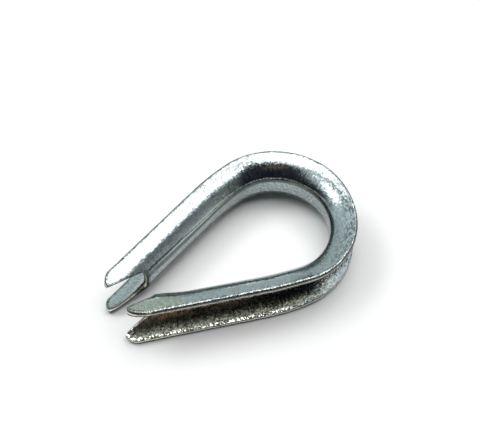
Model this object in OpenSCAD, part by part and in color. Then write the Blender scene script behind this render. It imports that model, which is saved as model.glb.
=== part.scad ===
// Wire-rope thimble: one strip of plated steel, pressed to an open channel
// and bent to a teardrop, so that a rope lies in the groove round its outside.
// The origin is the centre of the round crown at mid-height, with the crown
// towards +X, the point of the teardrop towards -X and the eye open along Z.

/* [Eye] */
// Radius of the round seat inside the eye
seat_r = 8; // [7:0.1:10]
// Angle of the round crown on each side of the centre line
crown_turn = 98; // [96:0.5:100]
// Radius of the slack bend from the crown into each leg, on the eye side
shoulder_r = 34.7; // [28:0.1:40]
// Angle that the slack bend turns through, so that the legs close to a point
shoulder_turn = 10.4; // [9:0.1:12]
// Length of each straight leg, up to the tips of its prongs
leg_len = 20.6; // [18:0.1:21]

/* [Channel] */
// Thickness of the steel strip
sheet_t = 1; // [0.8:0.05:1.2]
// Height over both rims
height = 8.3; // [7.8:0.1:9]
// Distance from the seat out to the rims
rim_reach = 3.7; // [3.4:0.1:4.2]
// Height of the flat band at the bottom of the channel
band_h = 2.35; // [2:0.05:2.8]
// Bend radius beside the flat band, on the eye side
heel_r = 2.25; // [1.8:0.05:2.5]

/* [Prongs] */
// Depth of the notch in the end of each leg
notch_depth = 6.1; // [5:0.1:7]
// Radius of the notch's round root
notch_r = 2.3; // [2:0.1:2.5]
// Angle of the notch's sides to the leg
notch_angle = 21.3; // [19:0.1:23]
// Radius of the outer corner of each prong
prong_r = 1.6; // [1:0.1:1.8]

/* [Hidden] */
// Angles of the channel's side, from upright: end of the heel bend, and start
// of the long bend that turns the side out into a nearly level rim
heel_turn = 20;
side_start = 37;
// Where the heel bend meets the long bend
heel_x = heel_r * (1 - cos(heel_turn));
heel_z = band_h / 2 + heel_r * sin(heel_turn);
// The long bend fills the reach and the height that are left for it
side_run = rim_reach - heel_x;
side_end = 2 * atan(side_run / (height / 2 - heel_z)) - side_start;
side_r = side_run / (cos(side_start) - cos(side_end));
// Slope at which the notch is punched through the channel's sides
punch_tilt = 55;
root_at = leg_len - notch_depth + notch_r;
reach = 12;
// The slack bend stretches the strip thinner by bend_thin on each face, and runs
// lap_turn degrees into its neighbours, so that all three are one solid
bend_thin = 0.02;
lap_turn = 0.8;
$fn = 120;

// Ring of wall whose outside has radius r, from angle a to b measured from the
// -X direction up towards +Y, with thin taken off both of its faces
module bend(r, a, b, thin) {
    intersection() {
        difference() {
            circle(r - thin);
            circle(r - sheet_t + thin);
        }
        polygon([
            [0, 0],
            2 * r * [-cos(a), sin(a)],
            2 * r / cos((b - a) / 2) * [-cos((a + b) / 2), sin((a + b) / 2)],
            2 * r * [-cos(b), sin(b)]
        ]);
    }
}

// Upper half of the channel: x is the distance out from the seat, y the height
module half_section(thin) {
    translate([thin, 0]) square([sheet_t - 2 * thin, band_h / 2]);
    translate([heel_r, band_h / 2]) bend(heel_r, 0, heel_turn, thin);
    translate([heel_x + side_r * cos(side_start), heel_z - side_r * sin(side_start)])
        bend(side_r, side_start, side_end - asin(thin / side_r), thin);
}

module channel_section(thin = 0) {
    half_section(thin);
    mirror([0, 1]) half_section(thin);
}

// Notch in one side of a leg, as seen square to that side: x runs along the leg
module notch_outline() {
    translate([root_at, 0]) circle(notch_r);
    polygon([
        [root_at - notch_r * sin(notch_angle), notch_r * cos(notch_angle)],
        [root_at + reach, notch_r / cos(notch_angle) + reach * tan(notch_angle)],
        [root_at + reach, -reach],
        [root_at - notch_r * sin(notch_angle), -notch_r * cos(notch_angle)]
    ]);
}

// The half of the notch that is above mid-height: x runs out from the seat
module half_notch() {
    intersection() {
        rotate([0, punch_tilt, 0]) rotate([0, 90, 0]) rotate(90)
            linear_extrude(4 * reach, center = true) notch_outline();
        translate([-reach, 0, 0]) cube([2 * reach, 3 * reach, reach]);
    }
}

// What is cut off outside the round outer corner of the prongs
module corner_cut() {
    difference() {
        translate([rim_reach - prong_r, leg_len - prong_r, -reach / 2])
            cube([reach, reach, reach]);
        translate([rim_reach - prong_r, leg_len - prong_r, -reach])
            cylinder(h = 2 * reach, r = prong_r);
    }
}

// Straight leg along +Y, with the eye on its -X side
module leg() {
    difference() {
        translate([0, leg_len, 0]) rotate([90, 0, 0]) linear_extrude(leg_len) channel_section();
        half_notch();
        mirror([0, 0, 1]) half_notch();
        corner_cut();
    }
}

// One side past the crown: each stretch starts where the one before it ends
module shoulder_and_leg() {
    rotate(crown_turn) translate([seat_r - shoulder_r, 0, 0]) {
        rotate(-lap_turn) rotate_extrude(angle = shoulder_turn + 2 * lap_turn)
            translate([shoulder_r, 0]) channel_section(bend_thin);
        rotate(shoulder_turn) translate([shoulder_r, 0, 0]) leg();
    }
}

module thimble_channel() {
    color("#9aa3ab") {
        rotate(-crown_turn) rotate_extrude(angle = 2 * crown_turn)
            translate([seat_r, 0]) channel_section();
        shoulder_and_leg();
        mirror([0, 1, 0]) shoulder_and_leg();
    }
}

thimble_channel();
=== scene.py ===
"""Zinc-plated wire-rope thimble on a pale table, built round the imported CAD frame."""

import math
from types import SimpleNamespace

import bpy
import numpy as np
from mathutils import Matrix, Vector


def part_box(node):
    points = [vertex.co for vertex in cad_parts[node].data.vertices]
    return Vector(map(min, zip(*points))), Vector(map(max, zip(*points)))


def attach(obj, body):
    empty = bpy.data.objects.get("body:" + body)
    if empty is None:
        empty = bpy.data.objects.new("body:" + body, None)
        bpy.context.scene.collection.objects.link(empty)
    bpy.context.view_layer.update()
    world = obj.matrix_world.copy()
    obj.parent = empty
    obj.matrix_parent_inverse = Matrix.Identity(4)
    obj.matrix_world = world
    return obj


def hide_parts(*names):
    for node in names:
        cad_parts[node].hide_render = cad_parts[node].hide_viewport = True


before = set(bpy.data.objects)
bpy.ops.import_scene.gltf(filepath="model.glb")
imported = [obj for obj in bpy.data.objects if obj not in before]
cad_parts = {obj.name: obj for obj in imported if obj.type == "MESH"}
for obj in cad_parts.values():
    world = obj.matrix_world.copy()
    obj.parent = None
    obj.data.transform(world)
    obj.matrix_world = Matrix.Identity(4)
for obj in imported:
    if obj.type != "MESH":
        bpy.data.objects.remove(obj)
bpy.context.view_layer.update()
MM = 0.001

# ---------------------------------------------------------------- sizes, in millimetres
NODE = "thimble_channel"
box_low, box_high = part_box(NODE)
HEIGHT = (box_high[2] - box_low[2]) / MM
FLOOR_Z = box_low[2]
# Gap between the outermost points and the CAD box
BOX_SLACK = 0.004

# The eye: a round crown, a slack bend and a straight leg on each side
SEAT_R = 8.0
CROWN_TURN = math.radians(98)
SHOULDER_R = 34.7
SHOULDER_TURN = math.radians(10.4)

# The channel's section: a flat band, a heel bend at each edge of it, and flared sides up to the rims
SHEET_T = 1.0
RIM_REACH = 3.7
BAND_H = 2.35
HEEL_R = 2.25
HEEL_TURN = math.radians(20)
SIDE_START = math.radians(37)
# Width over which the section turns at the heel's crease, on each face
CREASE_EYE = 0.14
CREASE_GROOVE = 1.1

# Radius of the cut edges: rolled over on the eye side at the rim and at the notch, a burr on the groove side
ROLL_R = 0.36
NOTCH_ROLL_R = 0.14
BURR_R = 0.09

heel_x = HEEL_R * (1 - math.cos(HEEL_TURN))
heel_z = BAND_H / 2 + HEEL_R * math.sin(HEEL_TURN)
side_run = RIM_REACH - heel_x
SIDE_END = 2 * math.atan(side_run / (HEIGHT / 2 - heel_z)) - SIDE_START
SIDE_R = side_run / (math.cos(SIDE_START) - math.cos(SIDE_END))

# Places in the flat strip: u is up the strip from mid-height, s along it from the middle of the crown.
# The far leg has positive s, the near leg negative s.
U_BAND = BAND_H / 2
U_HEEL = U_BAND + HEEL_R * HEEL_TURN
U_RIM = U_HEEL + SIDE_R * (SIDE_END - SIDE_START)
S_CROWN = SEAT_R * CROWN_TURN
S_LEG = S_CROWN + SHOULDER_R * SHOULDER_TURN
# Length of each leg whose mesh columns are straight; past it they follow the notch more and more
LEG_STEADY = 11

# A bend: where the heel starts, its lean at the crease, and the lean of the side just past it
TRUE_BEND = (U_BAND, math.radians(32), SIDE_START)
SOFT_BEND = (0.6, math.radians(50), math.radians(54))
# Stretch of the strip that has the soft bend, on the crown's near side: start, full, fading and end
SOFT_STRETCH = (-17.0, -10.0, -4.0, 3.0)
# How far out and up the upper crease strays, along the far leg and at the near leg's tip, and the stretch
# where it does so: of the strip for the far leg, of the leg for the near tip
FAR_CREASE = (0.20, 0.26)
FAR_STRETCH = (18.0, 34.0, 60.0, 70.0)
TIP_SHIFT = (-0.40, 0.10)
TIP_STRETCH = (10.5, 15.5, 30.0, 40.0)
# The rim's extra reach on the eye side
RIM_LIP = 0.12
# How far the cut of the far leg's lower prong slants on the groove side, how much thinner it is there, and
# the stretch of the leg where it is so
SLANT = 0.60
THINNED = 0.25
SLANT_STRETCH = (13.4, 18.2, 19.4, 21.0)
# Rows of the cut face, from 0 at the eye side to 1 at the groove side; its torn part, and how far that is
# set back
CUT_ROWS = (0.1, 0.25, 0.4, 0.5, 0.6, 0.7, 0.8, 0.9)
TORN_PART = (0.45, 0.62, 0.85, 1.0)
CUT_BACK = 0.03
# Heights of the broad dents and of the finer ripple across the strip, and of the plate's grain
DENT = 0.006
RIPPLE = 0.0016
GRAIN = 0.016

# Each prong: length of its leg at the tip, and the length and width of its outer corner's curve
PRONGS = {
    ("far", 1): (20.4, 1.9, 1.7),
    ("far", -1): (20.45, 1.6, 1.7),
    ("near", 1): (19.95, 3.4, 1.5),
    ("near", -1): (20.45, 2.0, 1.9),
}
# Each prong's side of the notch: where the root is, how bowed it is, and a point and slope of the side
NOTCHES = {
    ("far", 1): (14.3, 0.55, 16.15, 2.82, 0.38),
    ("far", -1): (14.3, 0.55, 16.15, 2.80, 0.38),
    ("near", 1): (15.3, 0.55, 18.39, 3.7, 0.42),
    ("near", -1): (14.5, 0.5, 17.0, 2.3, 0.66),
}
# Half-width of the notch's root, and the lengths over which its corner and the prong's tip are rounded
ROOT_HALF = 2.3
ROOT_BLEND = 0.8
TIP_BLEND = 0.7


# ---------------------------------------------------------------- the strip's shape
def ease(x, low, high):
    """0 at low and 1 at high, with a smooth start and end."""
    t = np.clip((x - low) / (high - low), 0, 1)
    return t * t * (3 - 2 * t)


def hump(x, low, rise, fall, high):
    """1 between rise and fall, easing to 0 at low and high."""
    return ease(x, low, rise) * ease(x, high, fall)


def smooth_min(a, b, k):
    """The smaller of a and b, rounded where they are within k of each other."""
    h = np.maximum(k - np.abs(a - b), 0) / k
    return np.minimum(a, b) - h * h * k / 4


def wave(x, seed, period, count=5):
    """Smooth random waves along x with about unit height: a sum of sines with fixed random phases."""
    rng = np.random.default_rng(seed)
    total = np.zeros_like(x)
    for _ in range(count):
        length = period * rng.uniform(0.6, 1.6)
        total += np.sin(2 * math.pi * x / length + rng.uniform(0, 2 * math.pi))
    return total / math.sqrt(count)


def lean(u, crease, bend):
    """Angle of the channel's side from upright, at a distance u up the strip from mid-height."""
    heel_from, heel_lean, side_lean = bend
    heel = np.clip((u - heel_from) / (U_HEEL - heel_from), 0, 1) * heel_lean
    side = np.clip((u - U_HEEL) / (U_RIM - U_HEEL), 0, 1) * (SIDE_END - side_lean)
    kink = (side_lean - heel_lean) * ease(u, U_HEEL - crease / 2, U_HEEL + crease / 2)
    return heel + side + kink


def profile(u, crease, bend):
    """Reach and height of the section at each signed distance u from mid-height."""
    fine = np.linspace(0, U_RIM + 0.3, 6000)
    angle = lean(fine, crease, bend)
    mid = 0.5 * (angle[1:] + angle[:-1])
    out = np.concatenate([[0], np.cumsum(np.sin(mid) * fine[1])])
    up = np.concatenate([[0], np.cumsum(np.cos(mid) * fine[1])])
    heel, rim = np.interp(U_HEEL, fine, out), np.interp(U_RIM, fine, out)
    stretched = heel + (out - heel) * (RIM_REACH - heel) / (rim - heel)
    out = np.where(fine > U_HEEL, stretched, out)
    au = np.abs(u)
    return np.interp(au, fine, out), np.interp(au, fine, up) * np.sign(u)


def path(s):
    """Point and outward direction of the eye wall at a distance s from the middle of the crown."""
    a = np.abs(s)
    turn = np.minimum(a, S_CROWN) / SEAT_R + np.clip(a - S_CROWN, 0, S_LEG - S_CROWN) / SHOULDER_R
    c, n = np.cos(turn), np.sin(turn)
    slack = a > S_CROWN
    cx = np.where(slack, (SEAT_R - SHOULDER_R) * math.cos(CROWN_TURN), 0.0)
    cy = np.where(slack, (SEAT_R - SHOULDER_R) * math.sin(CROWN_TURN), 0.0)
    r = np.where(slack, SHOULDER_R, SEAT_R)
    run = np.maximum(a - S_LEG, 0)
    side = np.where(s < 0, -1.0, 1.0)
    return cx + r * c - run * n, (cy + r * n + run * c) * side, c, n * side


def prong_end(au, leg, half):
    """Where one prong ends along its leg, at each height au from mid-height: notch, tip and outer corner."""
    root, bow, side_s, side_u, slope = NOTCHES[(leg, half)]
    notch_root = root + bow * (au / ROOT_HALF) ** 2
    notch_side = side_s + (au - side_u) / slope
    notch = -smooth_min(-notch_root, -notch_side, ROOT_BLEND)
    length, corner_s, corner_u = PRONGS[(leg, half)]
    t = np.clip((au - (U_RIM - corner_u)) / corner_u, 0, 1)
    outer = length - corner_s * (1 - np.sqrt(np.maximum(1 - t * t, 0)))
    return smooth_min(notch, outer, TIP_BLEND)


def leg_end(u, leg):
    """Where the strip ends along a leg, at each signed distance u from mid-height."""
    au = np.abs(u)
    return np.where(u >= 0, prong_end(au, leg, 1), prong_end(au, leg, -1))


# ---------------------------------------------------------------- the strip's mesh
def u_lines():
    """Distances from mid-height of the mesh's long lines, close together at the crease and the rim."""
    band = [0, 0.2, 0.4, 0.6, 0.8, 0.95, 1.08, 1.18, 1.3, 1.42, 1.54, 1.66, 1.76]
    crease = U_HEEL + np.linspace(-0.12, 0.12, 11)
    side = np.arange(U_HEEL + 0.2, U_RIM - 0.42, 0.13)
    rim = U_RIM - np.array([0.36, 0.30, 0.25, 0.21, 0.17, 0.13, 0.1, 0.07, 0.045, 0.025, 0.01, 0])
    half = np.concatenate([band, crease, side, rim])
    return np.concatenate([-half[:0:-1], half])


def strip_grid():
    """Distance along and up the strip of every mesh column and line; the end columns follow the notches."""
    u = u_lines()
    steady = S_LEG + LEG_STEADY
    bent = np.linspace(-steady, steady, 430)
    gap = np.concatenate([np.linspace(0, 0.86, 70), 1 - np.geomspace(0.13, 0.002, 34), [1.0]])[1:]
    near = -(steady + (leg_end(u, "near")[None, :] - LEG_STEADY) * gap[::-1, None])
    far = steady + (leg_end(u, "far")[None, :] - LEG_STEADY) * gap[:, None]
    s = np.concatenate([near, np.repeat(bent[:, None], len(u), 1), far])
    return s, np.repeat(u[None, :], len(s), 0)


def edge_distance(s, u):
    """Distance in the flat strip from each mesh point to the cut outline."""
    dist = U_RIM - np.abs(u)
    fine = np.linspace(-U_RIM, U_RIM, 1600)
    for leg, sign in (("near", -1), ("far", 1)):
        edge = sign * (S_LEG + leg_end(fine, leg))
        for i in np.where(sign * s.mean(1) > S_LEG + LEG_STEADY)[0]:
            d = np.hypot(s[i][:, None] - edge[None, :], u[i][:, None] - fine[None, :]).min(1)
            dist[i] = np.minimum(dist[i], d)
    return dist


def dents(s, u):
    """Small unevenness of the pressed strip, in millimetres."""
    broad = DENT * wave(s + 0.6 * u, 3, 7.0) * wave(u - 0.1 * s, 4, 5.0)
    ripple = RIPPLE * wave(s, 5, 1.3) * (0.6 + 0.4 * wave(u, 6, 2.5))
    return broad + ripple


def sheet(s, u, crease):
    """Points of the bare sheet at each place in the flat strip, with no thickness."""
    out, up = profile(u, crease, TRUE_BEND)
    soft_out, soft_up = profile(u, crease, SOFT_BEND)
    soft = hump(s, *SOFT_STRETCH)
    out, up = out + (soft_out - out) * soft, up + (soft_up - up) * soft
    tent = np.interp(np.abs(u), (0, U_HEEL, U_RIM), (0, 1, 0)) * (u > 0)
    far = hump(s, *FAR_STRETCH) * tent
    tip = hump(-s - S_LEG, *TIP_STRETCH) * tent
    out += FAR_CREASE[0] * far + TIP_SHIFT[0] * tip
    up += FAR_CREASE[1] * far + TIP_SHIFT[1] * tip
    x, y, nx, ny = path(s)
    return np.stack([x + out * nx, y + out * ny, up], -1)


def eye_normal(p):
    """Unit normals of a grid of points, on the eye side."""
    along, across = np.gradient(p, axis=0), np.gradient(p, axis=1)
    n = np.cross(across, along)
    return n / np.linalg.norm(n, axis=-1, keepdims=True)


def roundings(s, u, dist):
    """How far the eye side and the groove side sink as they round over at the cut outline."""
    ragged = 1 + 0.10 * wave(s + u, 12, 0.55) + 0.12 * wave(s - u, 13, 2.2)
    rim_side = np.clip((np.abs(u) - U_RIM + 1.2) / 0.8, 0, 1)
    sinks = []
    for r in (NOTCH_ROLL_R + (ROLL_R - NOTCH_ROLL_R) * rim_side, BURR_R):
        radius = r * ragged
        t = np.clip(1 - dist / radius, 0, 1)
        sinks.append(radius * (1 - np.sqrt(np.maximum(1 - t * t, 0))))
    return sinks


def slanted_part(s, u):
    """1 where the far leg's lower prong is cut on a slant, easing to 0 towards the root and the rim."""
    along = hump(s - S_LEG, *SLANT_STRETCH)
    return along * np.clip((U_RIM + u) / 2.4, 0, 1) * np.clip((-u - U_HEEL) / 0.6, 0, 1)


def two_sides(s, u, dist):
    """Grids of points on the eye side and the groove side, and the bare sheet's normals on the eye side."""
    roll, burr = roundings(s, u, dist)
    bump, slanted = dents(s, u), slanted_part(s, u)
    lip = RIM_LIP * ease(np.abs(u), U_RIM - 1.0, U_RIM) * np.sign(u)
    inner = sheet(s, u + lip, CREASE_EYE)
    outer = sheet(s, u + SLANT * slanted, CREASE_GROOVE)
    normals = eye_normal(inner)
    thick = SHEET_T - THINNED * slanted - burr - bump
    eye = inner - normals * (roll - bump)[..., None]
    groove = outer - eye_normal(outer) * thick[..., None]
    return eye.reshape(-1, 3), groove.reshape(-1, 3), normals.reshape(-1, 3)


def inward_vectors(eye, normals, rim, centre):
    """Unit vectors along the sheet at its outline, pointing into it."""
    along = np.roll(eye[rim], -1, 0) - np.roll(eye[rim], 1, 0)
    inward = np.cross(normals[rim], along)
    inward /= np.linalg.norm(inward, axis=1, keepdims=True)
    if (eye[centre] - eye[rim[0]]) @ inward[0] < 0:
        inward = -inward
    return inward


def cut_face(eye_rim, groove_rim, inward, s, u):
    """Rows of points down the cut face: smooth where the punch sheared it, torn and set back below that."""
    rows = []
    for t in CUT_ROWS:
        set_back = CUT_BACK * hump(t, *TORN_PART)
        torn = 1 + 0.9 * wave(s + 2 * u + 5 * t, 11, 0.5) * (t > TORN_PART[0])
        rows.append(eye_rim * (1 - t) + groove_rim * t + inward * (set_back * torn)[:, None])
    return rows


def strip_faces(grid, rim):
    """Quads of the eye side, the groove side and the cut face that joins them."""
    a, b, c, d = grid[:-1, :-1], grid[1:, :-1], grid[1:, 1:], grid[:-1, 1:]
    eye = np.stack([a, d, c, b], -1).reshape(-1, 4)
    groove = np.stack([a, b, c, d], -1).reshape(-1, 4) + grid.size
    rings = [rim]
    for i in range(len(CUT_ROWS)):
        rings.append(2 * grid.size + i * len(rim) + np.arange(len(rim)))
    rings.append(rim + grid.size)
    faces = [eye, groove]
    for upper, lower in zip(rings, rings[1:]):
        faces.append(np.stack([upper, np.roll(upper, -1), np.roll(lower, -1), lower], -1))
    return np.concatenate(faces)


def add_strip_places(mesh, s, u, dist, rim):
    """Give each vertex its place in the strip, its distance to the edge, and its depth in the sheet."""
    flat = np.stack([s.ravel(), u.ravel(), dist.ravel()], -1)
    edge = flat[rim] * (1, 1, 0)
    places = np.concatenate([flat, flat] + [edge] * len(CUT_ROWS))
    through = np.concatenate([np.zeros(len(flat)), np.ones(len(flat)), np.repeat(CUT_ROWS, len(rim))])
    layer = mesh.attributes.new("strip", "FLOAT_VECTOR", "POINT")
    layer.data.foreach_set("vector", places.astype(np.float32).ravel())
    layer = mesh.attributes.new("through", "FLOAT", "POINT")
    layer.data.foreach_set("value", through.astype(np.float32))


def channel_mesh():
    """The whole pressed strip as one closed mesh with rounded cut edges."""
    s, u = strip_grid()
    dist = edge_distance(s, u)
    eye, groove, normals = two_sides(s, u, dist)
    rows, cols = s.shape
    grid = np.arange(rows * cols).reshape(rows, cols)
    rim = np.concatenate([grid[:, 0], grid[-1, 1:], grid[-2::-1, -1], grid[0, -2:0:-1]])
    inward = inward_vectors(eye, normals, rim, grid[rows // 2, cols // 2])
    cut = cut_face(eye[rim], groove[rim], inward, s.ravel()[rim], u.ravel()[rim])
    points = np.concatenate([eye, groove] + cut) * MM
    slack = BOX_SLACK * MM
    points = np.clip(points, np.array(box_low) + slack, np.array(box_high) - slack)
    mesh = bpy.data.meshes.new("thimble_strip")
    mesh.from_pydata(points.tolist(), [], strip_faces(grid, rim).tolist())
    mesh.validate()
    add_strip_places(mesh, s, u, dist, rim)
    mesh.polygons.foreach_set("use_smooth", np.ones(len(mesh.polygons), dtype=bool))
    mesh.update()
    return mesh


# ---------------------------------------------------------------- materials
class Nodes:
    """Short names for making and joining shader nodes."""

    def __init__(self, tree):
        self.tree = tree
        tree.nodes.clear()

    def add(self, kind, **settings):
        """A new node, with its properties and its sockets' own values set by name."""
        node = self.tree.nodes.new(kind)
        for key, value in settings.items():
            if key in node.bl_rna.properties:
                setattr(node, key, value)
            else:
                node.inputs[key.replace("_", " ")].default_value = value
        return node

    def join(self, out, into):
        self.tree.links.new(out, into)

    def feed(self, value, socket):
        """Put a number, a colour or another node's output into a socket."""
        if isinstance(value, (int, float)):
            socket.default_value = value
        elif isinstance(value, tuple):
            socket.default_value = (*value, 1.0)
        else:
            self.join(value, socket)

    def math(self, op, *values):
        node = self.add("ShaderNodeMath", operation=op)
        for value, socket in zip(values, node.inputs):
            self.feed(value, socket)
        return node.outputs[0]

    def times(self, first, *rest):
        for value in rest:
            first = self.math("MULTIPLY", first, value)
        return first

    def plus(self, first, *rest):
        for value in rest:
            first = self.math("ADD", first, value)
        return first

    def clipped(self, value):
        """The value, held between 0 and 1."""
        return self.math("MINIMUM", self.math("MAXIMUM", value, 0.0), 1.0)

    def ramp(self, value, low, high, to_low=0.0, to_high=1.0):
        """A smooth change from to_low at low to to_high at high."""
        node = self.add("ShaderNodeMapRange", interpolation_type="SMOOTHSTEP")
        limits = {"Value": value, "From Min": low, "From Max": high, "To Min": to_low, "To Max": to_high}
        for name, limit in limits.items():
            self.feed(limit, node.inputs[name])
        return node.outputs[0]

    def band(self, value, low, rise, fall, high):
        """1 between rise and fall, easing to 0 at low and high."""
        return self.times(self.ramp(value, low, rise), self.ramp(value, high, fall))

    def mix(self, factor, a, b):
        """Colour a where the factor is 0, colour b where it is 1."""
        node = self.add("ShaderNodeMix", data_type="RGBA")
        for value, index in ((factor, 0), (a, 6), (b, 7)):
            self.feed(value, node.inputs[index])
        return node.outputs[2]

    def stretched(self, vector, x, y):
        """The strip's places, in steps of 1/x mm along it and 1/y mm up it."""
        node = self.add("ShaderNodeMapping", vector_type="POINT")
        node.inputs["Scale"].default_value = (x, y, 1.0)
        self.join(vector, node.inputs["Vector"])
        return node.outputs[0]

    def noise(self, vector, x, y, detail, rough):
        node = self.add("ShaderNodeTexNoise", Scale=1.0, Detail=detail, Roughness=rough)
        self.join(self.stretched(vector, x, y), node.inputs["Vector"])
        return node

    def pattern(self, vector, x, y, detail=4.0, rough=0.6):
        """Random pattern between 0 and 1, of x features per millimetre along the strip and y up it."""
        return self.noise(vector, x, y, detail, rough).outputs["Fac"]

    def vector(self, op, a, b):
        node = self.add("ShaderNodeVectorMath", operation=op)
        self.join(a, node.inputs[0])
        if isinstance(b, tuple):
            node.inputs[1].default_value = b
        else:
            self.join(b, node.inputs[1])
        return node.outputs[0]

    def scaled(self, vector, amount):
        node = self.add("ShaderNodeVectorMath", operation="SCALE")
        self.join(vector, node.inputs[0])
        self.feed(amount, node.inputs["Scale"])
        return node.outputs[0]

    def tilt(self, vector, x, y, amount):
        """Random small vectors that lean a normal to one side, the same along each streak or speck."""
        colour = self.noise(vector, x, y, 2.0, 0.6).outputs["Color"]
        return self.scaled(self.vector("SUBTRACT", colour, (0.5, 0.5, 0.5)), amount)

    def unit_sum(self, first, *rest):
        for vector in rest:
            first = self.vector("ADD", first, vector)
        node = self.add("ShaderNodeVectorMath", operation="NORMALIZE")
        self.join(first, node.inputs[0])
        return node.outputs[0]


BLUE_PLATE, GREEN_PLATE, STRAW = (0.385, 0.445, 0.46), (0.42, 0.46, 0.41), (0.48, 0.43, 0.31)
GRAIN_DARK, PIT, FROST = (0.14, 0.15, 0.16), (0.05, 0.05, 0.055), (0.10, 0.11, 0.11)
WEB_DARK, WEB_PALE = (0.16, 0.20, 0.20), (0.60, 0.66, 0.67)
# Painted shade for the heel bend, and a painted highlight for its crease
# Painted shade for the rim's roll-over
HEEL_SHADE, CREASE_HIGHLIGHT, ROLL_SHADE = (0.085, 0.10, 0.088), (0.92, 0.89, 0.74), (0.05, 0.052, 0.05)
# Painted shade for the recessed groove, and painted glints for its rim
GROOVE_SHADE, GLINT = (0.075, 0.088, 0.10), (0.86, 0.86, 0.80)
DULL_DARK, DULL_PALE, TARNISH = (0.030, 0.034, 0.025), (0.17, 0.178, 0.135), (0.46, 0.32, 0.18)
# Painted shade for the two edges of the cut face, and its bare steel
CUT_EDGE_SHADE, CUT_STEEL = (0.05, 0.05, 0.045), (0.74, 0.72, 0.62)


def strip_fields(n):
    """Where a point is on the strip, in millimetres, which face it is on, and the patterns of the finish."""
    strip = n.add("ShaderNodeAttribute", attribute_name="strip").outputs["Vector"]
    through = n.add("ShaderNodeAttribute", attribute_name="through").outputs["Fac"]
    split = n.add("ShaderNodeSeparateXYZ")
    n.join(strip, split.inputs[0])
    along, up, edge = split.outputs
    f = SimpleNamespace(strip=strip, through=through, along=along, up=up, edge=edge)
    f.away = n.math("ABSOLUTE", up)
    f.eye_side = n.ramp(through, 0.05, 0.0)
    f.groove = n.ramp(through, 0.95, 1.0)
    f.cut = n.math("SUBTRACT", 1.0, n.clipped(n.plus(f.eye_side, f.groove)))
    f.streaks = n.pattern(strip, 5.0, 0.9)
    f.grain = n.pattern(strip, 2.4, 2.4, rough=0.72)
    f.speckle = n.pattern(strip, 3.6, 2.2, detail=3.0, rough=0.65)
    f.fine = n.pattern(strip, 5.5, 5.5, detail=2.0)
    f.stains = n.pattern(strip, 0.5, 0.9)
    return f


def plated_face(n, f):
    """Plate with a blue passivate, greener at the near leg's tip, with straw stains, grain and pits."""
    colour = n.mix(n.ramp(f.along, -33.0, -31.0), GREEN_PLATE, BLUE_PLATE)
    colour = n.mix(n.times(n.ramp(f.stains, 0.58, 0.72), 0.55), colour, STRAW)
    colour = n.mix(n.ramp(f.grain, 0.40, 0.60, 0.32, 0.0), colour, GRAIN_DARK)
    web = n.times(n.ramp(f.away, 1.35, 1.1), f.eye_side)
    colour = n.mix(n.times(web, n.ramp(f.speckle, 0.50, 0.62, 0.0, 0.75)), colour, WEB_DARK)
    colour = n.mix(n.times(web, n.ramp(f.speckle, 0.48, 0.36, 0.0, 0.6)), colour, WEB_PALE)
    return n.mix(n.times(n.ramp(f.grain, 0.36, 0.31), n.ramp(f.along, 0.0, 10.0, 0.3, 0.85)), colour, PIT)


def heel_shade_and_highlight(n, f):
    """Painted shade in the heel bend, lower down on the far leg, and a painted highlight along its crease.
    """
    low = n.plus(f.away, n.ramp(f.along, 8.0, 26.0, 0.0, 0.55))
    high = n.plus(f.away, n.ramp(f.along, 8.0, 26.0, 0.0, 0.38), n.ramp(f.along, -1.0, -5.0, 0.0, -0.2))
    line = n.times(n.ramp(low, 1.0, 1.25), n.ramp(high, 1.88, 1.76))
    heel_shade = n.times(line, n.ramp(f.stains, 0.25, 0.55, 0.75, 0.95))
    crease_highlight = n.times(n.band(f.away, 1.84, 1.92, 2.02, 2.12), n.ramp(f.streaks, 0.35, 0.55, 0.3, 1.0))
    return heel_shade, n.times(crease_highlight, n.band(f.along, -2.0, 2.0, 21.0, 29.0))


def rolled_edge(n, f, colour):
    """The rim's roll-over: a broken line of painted shade behind it, and painted shade in dots on it, solid
    at the cut.
    """
    line = n.times(n.band(f.edge, 0.26, 0.34, 0.40, 0.50), n.ramp(f.grain, 0.40, 0.52, 0.95, 0.2))
    dots = n.times(n.ramp(f.edge, 0.40, 0.30), n.ramp(f.fine, 0.55, 0.47, 0.0, 0.85))
    colour = n.mix(line, colour, ROLL_SHADE)
    return n.mix(n.math("MAXIMUM", dots, n.ramp(f.edge, 0.13, 0.05, 0.0, 0.85)), colour, ROLL_SHADE)


def frosted_part(n, f):
    """Where the upper rim is frosted with dark marks: on the crown's near side, and along the far leg."""
    near = n.times(n.band(f.along, -13.0, -7.0, -1.0, 5.0), n.ramp(f.up, 3.2, 5.0))
    far = n.times(n.band(f.along, 8.0, 11.5, 18.0, 34.0), n.ramp(f.up, 4.0, 5.3))
    return n.times(n.clipped(n.plus(near, far)), n.ramp(f.stains, 0.35, 0.5))


def groove_face(n, f, colour):
    """The near leg's groove: painted shade on the plate, going dull and brown towards the prongs, with
    painted glints at the rim.
    """
    colour = n.mix(n.times(f.groove, n.ramp(f.along, 0.0, -8.0, 0.0, 0.85)), colour, GROOVE_SHADE)
    dull = n.mix(n.ramp(f.grain, 0.44, 0.58), DULL_DARK, DULL_PALE)
    tarnish = n.times(n.ramp(f.stains, 0.38, 0.52), n.ramp(f.along, -19.0, -29.0), n.ramp(f.away, 3.7, 2.8))
    dull = n.mix(tarnish, dull, TARNISH)
    scrubbed = n.times(n.ramp(f.edge, 1.25, 0.35), n.ramp(f.speckle, 0.47, 0.53))
    dull_part = n.times(n.ramp(f.along, -6.0, -16.0), f.groove, n.math("SUBTRACT", 1.0, scrubbed))
    colour = n.mix(dull_part, colour, dull)
    # Painted glints: bright specks near the groove's rim
    glint = n.times(n.ramp(f.edge, 0.85, 0.3), n.ramp(f.speckle, 0.50, 0.56))
    glint = n.times(glint, f.groove, n.ramp(f.along, -13.0, -22.0))
    return n.mix(glint, colour, GLINT), dull_part


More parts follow.
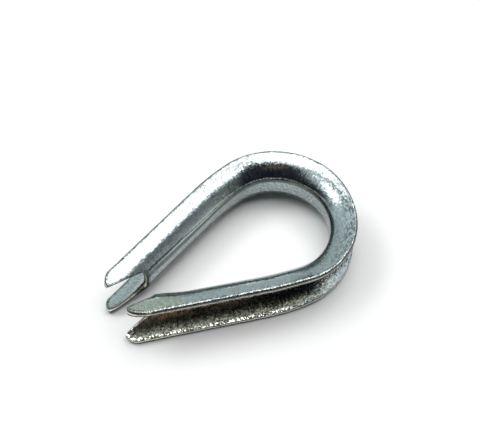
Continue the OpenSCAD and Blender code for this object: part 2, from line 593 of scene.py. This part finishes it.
def plate_normal(n, f, frost):
    """Normals of the plate: shallow grain, hair-like streaks across the strip, and specks."""
    bump = n.add("ShaderNodeBump", Strength=1.0, Distance=GRAIN * MM)
    n.join(n.times(n.plus(f.streaks, f.grain), 0.6), bump.inputs["Height"])
    hair = n.tilt(f.strip, 6.0, 1.1, 0.20)
    speck = n.tilt(f.strip, 4.0, 4.0, 0.32)
    strength = n.plus(n.times(f.groove, 1.6), frost, 0.5)
    return n.unit_sum(bump.outputs[0], hair, n.scaled(speck, strength))


def zinc_plate():
    """Zinc plate with a faint blue passivate: streaks across the strip, grain, pits, and a dull groove."""
    mat = bpy.data.materials.new("zinc_plate")
    mat.use_nodes = True
    n = Nodes(mat.node_tree)
    out = n.add("ShaderNodeOutputMaterial")
    bsdf = n.add("ShaderNodeBsdfPrincipled", Metallic=1.0)
    n.join(bsdf.outputs[0], out.inputs["Surface"])
    f = strip_fields(n)

    # Painted shade in the heel bend, in patches, and a painted highlight streaked along its crease
    heel_shade, crease_highlight = heel_shade_and_highlight(n, f)
    colour = n.mix(heel_shade, plated_face(n, f), HEEL_SHADE)
    colour = rolled_edge(n, f, n.mix(crease_highlight, colour, CREASE_HIGHLIGHT))
    frost = frosted_part(n, f)
    colour = n.mix(n.times(frost, n.ramp(f.grain, 0.56, 0.46, 0.0, 0.8)), colour, FROST)
    colour, dull_part = groove_face(n, f, colour)
    # The cut face: bare steel in the middle, painted shade at both edges
    cut_colour = n.mix(n.band(f.through, 0.26, 0.36, 0.66, 0.8), CUT_EDGE_SHADE, CUT_STEEL)
    n.join(n.mix(f.cut, colour, cut_colour), bsdf.inputs["Base Color"])

    oxide = n.times(dull_part, n.ramp(f.along, -17.0, -24.0, 0.0, 0.3))
    n.join(n.math("SUBTRACT", 1.0, oxide), bsdf.inputs["Metallic"])

    rough = n.plus(n.ramp(f.streaks, 0.3, 0.7, 0.07, 0.24), n.ramp(f.stains, 0.4, 0.8, 0.0, 0.08))
    rolled = n.times(n.ramp(f.edge, 0.5, 0.3), f.eye_side)
    for mask, more in ((dull_part, 0.10), (crease_highlight, 0.15), (heel_shade, 0.10), (f.cut, 0.15), (rolled, 0.16)):
        rough = n.plus(rough, n.times(mask, more))
    n.join(rough, bsdf.inputs["Roughness"])
    n.join(plate_normal(n, f, frost), bsdf.inputs["Normal"])
    return mat


def table_top():
    """Plain matt surface, a little grey."""
    mat = bpy.data.materials.new("pale_table")
    mat.use_nodes = True
    n = Nodes(mat.node_tree)
    out = n.add("ShaderNodeOutputMaterial")
    bsdf = n.add("ShaderNodeBsdfPrincipled", Base_Color=(0.58, 0.585, 0.585, 1), Roughness=0.8)
    n.join(bsdf.outputs[0], out.inputs["Surface"])
    return mat


# ---------------------------------------------------------------- the object
def make_thimble():
    piece = bpy.data.objects.new("thimble_strip", channel_mesh())
    bpy.context.scene.collection.objects.link(piece)
    piece.data.materials.append(zinc_plate())
    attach(piece, "root")
    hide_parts(NODE)


# ---------------------------------------------------------------- stage, light and camera
TABLE_HALF = 8.0


def make_table():
    """A wide flat table, in metres, that the lower rim rests on."""
    corners = [(x * TABLE_HALF, y * TABLE_HALF, FLOOR_Z) for x, y in ((-1, -1), (1, -1), (1, 1), (-1, 1))]
    mesh = bpy.data.meshes.new("table")
    mesh.from_pydata(corners, [], [(0, 1, 2, 3)])
    table = bpy.data.objects.new("table", mesh)
    bpy.context.scene.collection.objects.link(table)
    mesh.materials.append(table_top())


# Soft regions of the room that the metal reflects, each over the ones before it: azimuth from, to and
# elevation from, to (degrees), softness (degrees), colour. The crown points to azimuth 0, the teardrop's
# point to 180, and the far leg lies towards 90.
ROOM_DARK = (0.09, 0.10, 0.095)
LAMP_WHITE = (4.6, 4.6, 4.6)
NAVY = (0.014, 0.017, 0.030)
ROOM = [
    (-180, 180, 68, 100, 6, (4.6, 4.6, 4.5)),       # ceiling
    (130, 185, -5, 40, 10, (0.34, 0.38, 0.37)),     # wall past the teardrop's point, low
    (130, 206, 40, 66, 10, (0.85, 0.92, 0.92)),     # the same wall, high
    (52, 92, -10, 64, 10, (0.76, 0.84, 0.82)),      # far wall, right
    (84, 136, 9, 34, 12, (0.72, 0.82, 0.82)),       # far wall, left and low
    (80, 140, 28, 64, 12, (0.98, 1.10, 1.10)),      # far wall, left and high
    (139, 168, 38, 57, 7, LAMP_WHITE),              # bright window
    (162, 206, -5, 33, 9, (0.02, 0.024, 0.03)),     # dark doorway
    (192, 309, -5, 60, 9, NAVY),                    # dark near side
    (214, 292, 50, 70, 7, NAVY),                    # its top
    (232, 266, 48, 57, 5, (0.20, 0.145, 0.10)),     # brown patch in it
    (-47, 60, 43, 100, 6, LAMP_WHITE),              # bright slope of the ceiling
    (-54, -10, 33, 42, 6, (0.15, 0.17, 0.18)),      # wall past the crown on the near side, paler lower down
    (-52, -10, 23, 34, 6, (0.28, 0.30, 0.30)),
    (-52, -10, 13, 24, 6, (0.44, 0.46, 0.41)),
    (-52, -10, 1, 14, 6, (0.66, 0.74, 0.72)),
]


def room_region(n, x, y, elevation, low, high, down, top, soft):
    """1 inside a region of the room's directions, easing to 0 across its soft edges."""
    mask = n.times(n.ramp(elevation, down - soft / 2, down + soft / 2),
                   n.ramp(elevation, top + soft / 2, top - soft / 2))
    half = (high - low) / 2
    if half >= 180:
        return mask
    middle = math.radians((low + high) / 2)
    c, s = math.cos(middle), math.sin(middle)
    along = n.plus(n.times(x, c), n.times(y, s))
    across = n.math("SUBTRACT", n.times(y, c), n.times(x, s))
    off = n.times(n.math("ABSOLUTE", n.math("ARCTAN2", across, along)), 180 / math.pi)
    return n.times(mask, n.ramp(off, half + soft / 2, half - soft / 2))


def make_room():
    """The world: a bright ceiling and window, pale walls, and a dark side."""
    world = bpy.data.worlds.new("room")
    bpy.context.scene.world = world
    world.use_nodes = True
    n = Nodes(world.node_tree)
    out = n.add("ShaderNodeOutputWorld")
    background = n.add("ShaderNodeBackground")
    n.join(background.outputs[0], out.inputs["Surface"])
    split = n.add("ShaderNodeSeparateXYZ")
    n.join(n.add("ShaderNodeTexCoord").outputs["Generated"], split.inputs[0])
    x, y, z = split.outputs
    elevation = n.times(n.math("ARCSINE", z), 180 / math.pi)
    colour = ROOM_DARK
    for *region, tone in ROOM:
        colour = n.mix(room_region(n, x, y, elevation, *region), colour, tone)
    n.join(colour, background.inputs["Color"])


def make_light():
    """One soft lamp that lights the table; the metal's reflections come from the room."""
    azimuth, elevation, away = math.radians(124), math.radians(52), 0.6
    lamp = bpy.data.lights.new("window", "AREA")
    lamp.shape, lamp.size, lamp.energy = "DISK", 0.25, 1.5
    light = bpy.data.objects.new("window", lamp)
    level = math.cos(elevation)
    way = Vector((math.cos(azimuth) * level, math.sin(azimuth) * level, math.sin(elevation)))
    light.location = way * away
    light.rotation_euler = way.to_track_quat("Z", "Y").to_euler()
    light.visible_glossy = False
    bpy.context.scene.collection.objects.link(light)


def make_camera():
    """A camera above the open side of the teardrop, aimed at a point on the table and rolled a little."""
    azimuth, elevation, roll = math.radians(-37.1), math.radians(55.25), math.radians(5.15)
    away = 181.19 * MM
    target = Vector((-2.054 * MM, 6.379 * MM, FLOOR_Z))
    level = math.cos(elevation)
    back = Vector((math.sin(azimuth) * level, -math.cos(azimuth) * level, math.sin(elevation)))
    right = Vector((math.cos(azimuth), math.sin(azimuth), 0))
    up = back.cross(right)
    c, s = math.cos(roll), math.sin(roll)
    right, up = right * c + up * s, up * c - right * s
    data = bpy.data.cameras.new("camera")
    data.lens, data.sensor_width, data.clip_start = 87.9, 36.0, 0.01
    camera = bpy.data.objects.new("camera", data)
    turn = Matrix((right, up, back)).transposed().to_4x4()
    camera.matrix_world = Matrix.Translation(target + back * away) @ turn
    bpy.context.scene.collection.objects.link(camera)
    bpy.context.scene.camera = camera


make_camera()
make_thimble()
make_table()
make_room()
make_light()
bpy.context.scene.view_settings.view_transform = "Standard"
